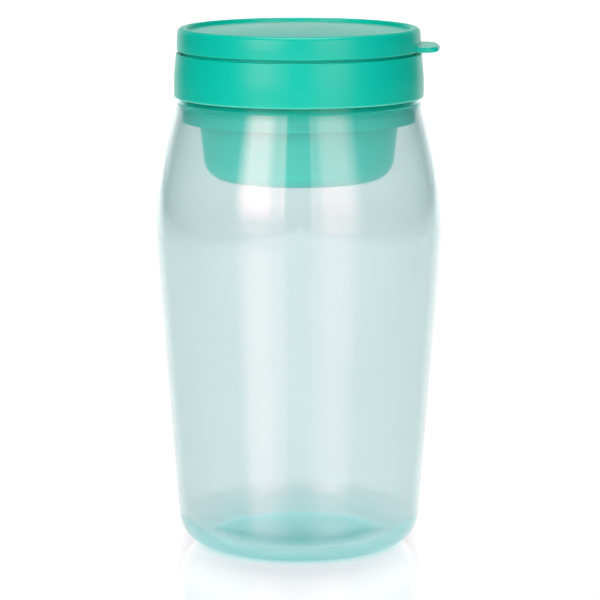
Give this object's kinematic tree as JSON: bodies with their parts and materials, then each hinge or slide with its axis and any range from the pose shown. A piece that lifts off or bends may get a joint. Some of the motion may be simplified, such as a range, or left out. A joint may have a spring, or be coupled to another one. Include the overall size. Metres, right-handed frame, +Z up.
{
  "type": "food storage jar",
  "caption": "Tapered translucent storage jar with a rounded shoulder, a cup hanging in its threaded neck, a screw collar over a gasket and a press-on lid with a pull tab.",
  "frame": {"origin": "on the resting surface, under the middle of the jar", "axes": "+Z up along the jar's axis, +X towards the lid's pull tab"},
  "size_m": [0.104, 0.104, 0.1889],
  "materials": {
    "jar_plastic": "clear gloss, faint aqua tint",
    "gasket_rubber": "matte translucent silicone",
    "cup_plastic": "satin moulded green",
    "collar_plastic": "satin moulded green",
    "lid_plastic": "satin moulded green"
  },
  "bodies": {
    "jar": {"jar_body": "jar_plastic"},
    "cup": {"insert_cup": "cup_plastic", "rim_gasket": "gasket_rubber"},
    "collar": {"screw_collar": "collar_plastic"},
    "lid": {"snap_lid": "lid_plastic"}
  },
  "joints": [
    {"name": "cup_rise", "type": "slide", "parent": "jar", "child": "cup", "axis": [0, 0, 1], "range_m": [0, 0.0045]},
    {"name": "collar_turn", "type": "hinge", "parent": "cup", "child": "collar", "pos_m": [0, 0, 0.172], "axis": [0, 0, 1], "range_deg": [0, 360]},
    {"name": "lid_lift", "type": "slide", "parent": "cup", "child": "lid", "axis": [0, 0, 1], "range_m": [0, 0.06]}
  ],
  "couplings": [
    {"joint": "cup_rise", "follows": "collar_turn", "m_per_rad": 0.0007162}
  ]
}
